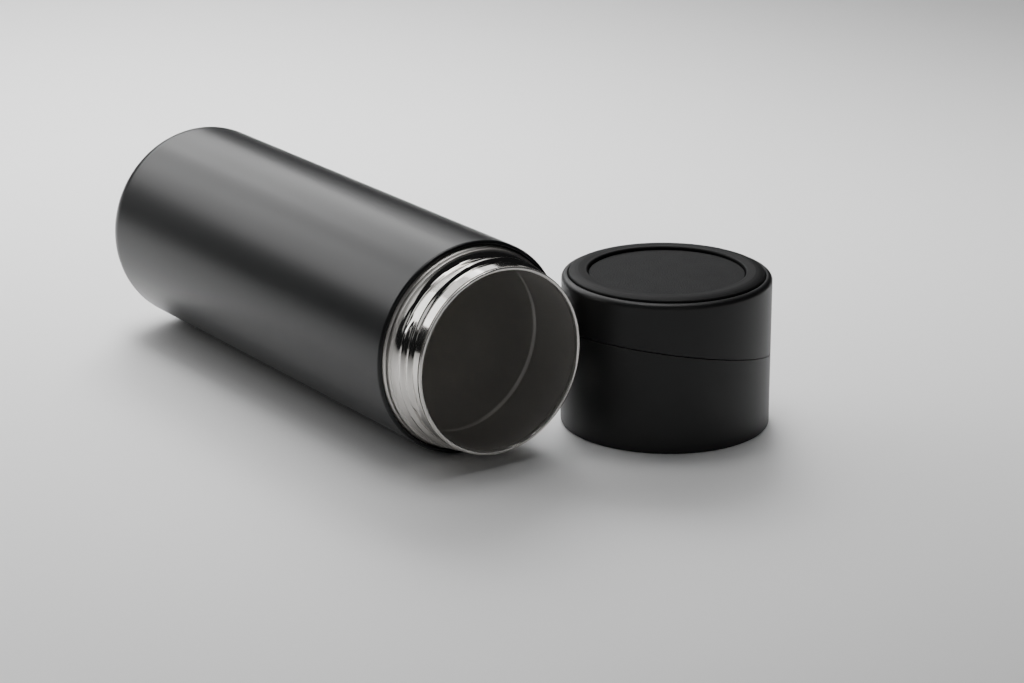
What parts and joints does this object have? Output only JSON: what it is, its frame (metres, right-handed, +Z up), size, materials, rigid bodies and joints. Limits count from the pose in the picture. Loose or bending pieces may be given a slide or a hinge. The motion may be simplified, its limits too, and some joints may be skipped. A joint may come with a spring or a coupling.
{
  "type": "vacuum flask",
  "caption": "Slim double-walled steel vacuum flask lying on its side, with its two-part screw cap standing beside the open threaded mouth.",
  "frame": {"origin": "on the table, under the centre of the box round the flask and its cap", "axes": "+X along the flask from its base to its mouth, +Z up, +Y from the flask towards the cap"},
  "size_m": [0.2256, 0.139, 0.07],
  "materials": {
    "black_coat": "satin black powder coat, very fine grain",
    "polished_steel": "polished stainless steel",
    "satin_steel": "satin electropolished stainless steel",
    "black_plastic": "fine matte moulded plastic",
    "black_rubber": "matte soft-touch insert",
    "silicone": "translucent grey silicone",
    "foam": "closed-cell foam",
    "copper_foil": "thin bright copper foil"
  },
  "bodies": {
    "flask": {"outer_shell": "black_coat", "neck_ring": "polished_steel", "inner_liner": "satin_steel", "liner_base": "satin_steel", "base_plate": "satin_steel", "vacuum_seal": "silicone", "base_pad": "black_rubber"},
    "getter_carrier": {"getter": "silicone"},
    "foil_carrier": {"foil_wrap": "copper_foil"},
    "gasket": {"rim_gasket": "silicone"},
    "stopper": {"collar_shell": "black_coat", "stopper_body": "black_plastic", "thread_sleeve": "black_plastic", "pour_ring": "black_plastic", "plug_cup": "black_plastic", "plug_seal": "silicone", "plug_foam": "foam", "lid_o_ring": "silicone", "valve_spring": "polished_steel"},
    "button": {"push_button": "black_plastic", "valve_stem": "black_plastic", "valve_seal": "silicone"},
    "lid": {"lid_shell": "black_coat", "lid_liner": "black_plastic", "lid_foam": "foam", "top_ring": "black_plastic", "top_disc": "black_rubber"}
  },
  "joints": [
    {"name": "cap_orbit", "type": "hinge", "parent": "flask", "child": "getter_carrier", "pos_m": [0.0667, -0.0345, 0.035], "axis": [1, 0, 0], "range_deg": [0, 180]},
    {"name": "cap_advance", "type": "slide", "parent": "getter_carrier", "child": "foil_carrier", "axis": [-1, 0, 0], "range_m": [0, 0.02]},
    {"name": "cap_swing", "type": "hinge", "parent": "foil_carrier", "child": "gasket", "pos_m": [0.05437, -0.03025, -0.03463], "axis": [-0.642, -0.4191, -0.642], "range_deg": [0, 225.48]},
    {"name": "cap_turn", "type": "hinge", "parent": "gasket", "child": "stopper", "pos_m": [0.0785, 0.0352, 0], "axis": [0, 0, 1], "range_deg": [-900, 0]},
    {"name": "lid_pull", "type": "slide", "parent": "stopper", "child": "lid", "axis": [0, 0, 1], "range_m": [0, 0.024]},
    {"name": "button_press", "type": "slide", "parent": "stopper", "child": "button", "axis": [0, 0, -1], "range_m": [0, 0.004], "stiffness_N_per_m": 800, "deforming": ["valve_spring"]}
  ],
  "couplings": [
    {"joint": "cap_orbit", "follows": "cap_swing", "ratio": 0.79831},
    {"joint": "cap_turn", "follows": "cap_advance", "rad_per_m": -785.4}
  ]
}
